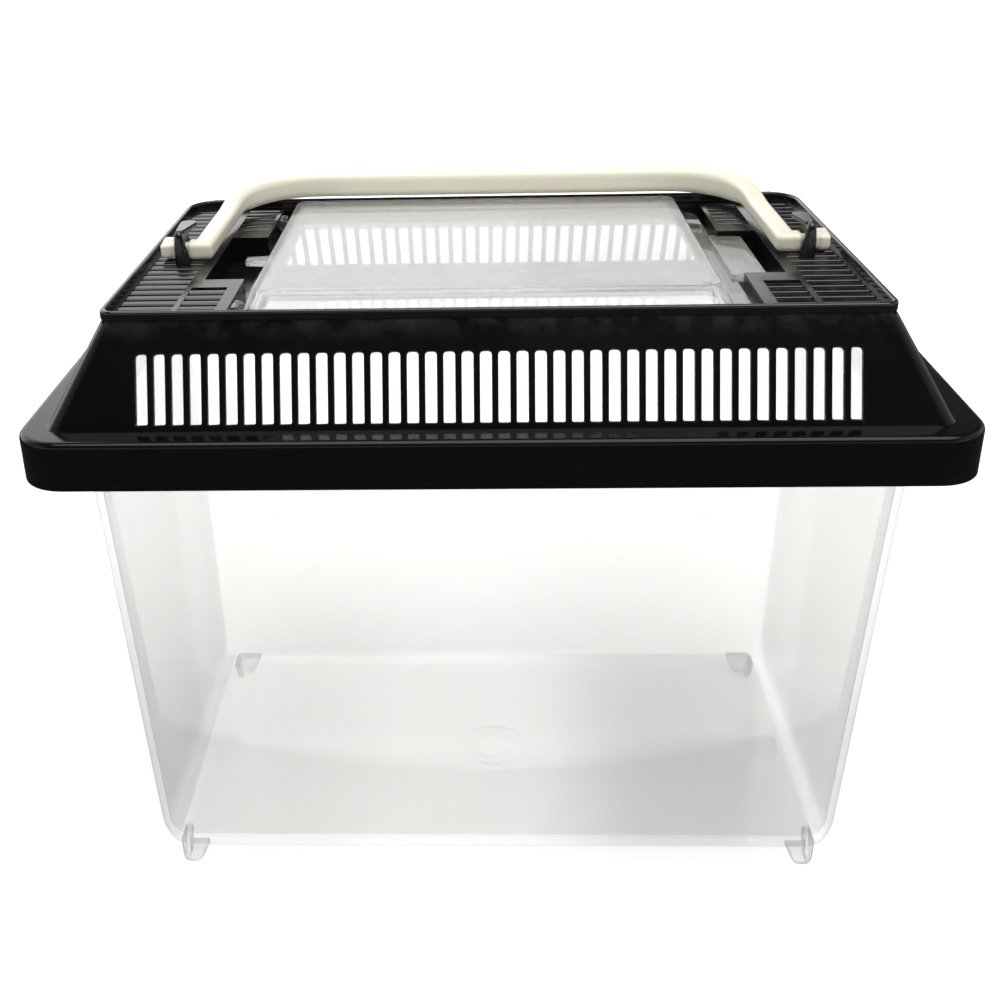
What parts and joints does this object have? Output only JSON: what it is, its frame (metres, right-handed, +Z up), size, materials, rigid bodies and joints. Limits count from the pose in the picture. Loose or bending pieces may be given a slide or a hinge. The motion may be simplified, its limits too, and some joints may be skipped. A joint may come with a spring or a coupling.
{
  "type": "plastic pet keeper",
  "caption": "Clear tapered tank with a black slotted lid, a clear hinged hatch in the lid and a bail carry handle.",
  "frame": {"origin": "centre of the footprint on the floor plane under the feet", "axes": "+X along the long side to the right, -Y towards the front (the long side seen in the picture), +Z up"},
  "size_m": [0.235, 0.1568, 0.1852],
  "materials": {
    "clear_shell": "clear polished",
    "black_plastic": "gloss",
    "clear_hatch": "clear polished",
    "ivory_plastic": "satin gloss"
  },
  "bodies": {
    "tank": {"tank": "clear_shell"},
    "lid": {"lid": "black_plastic", "lid_panel": "black_plastic", "well_left": "black_plastic", "well_right": "black_plastic"},
    "hatch": {"hatch": "clear_hatch"},
    "handle": {"handle": "ivory_plastic"}
  },
  "joints": [
    {"name": "lid_lift", "type": "slide", "parent": "tank", "child": "lid", "axis": [0, 0, 1], "range_m": [0, 0.06]},
    {"name": "hatch_hinge", "type": "hinge", "parent": "lid", "child": "hatch", "pos_m": [-0.0652, 0, 0.1732], "axis": [0, -1, 0], "range_deg": [0, 88]},
    {"name": "handle_pivot", "type": "hinge", "parent": "lid", "child": "handle", "pos_m": [0, -0.0018, 0.1774], "axis": [1, 0, 0], "range_deg": [0, 172]}
  ]
}
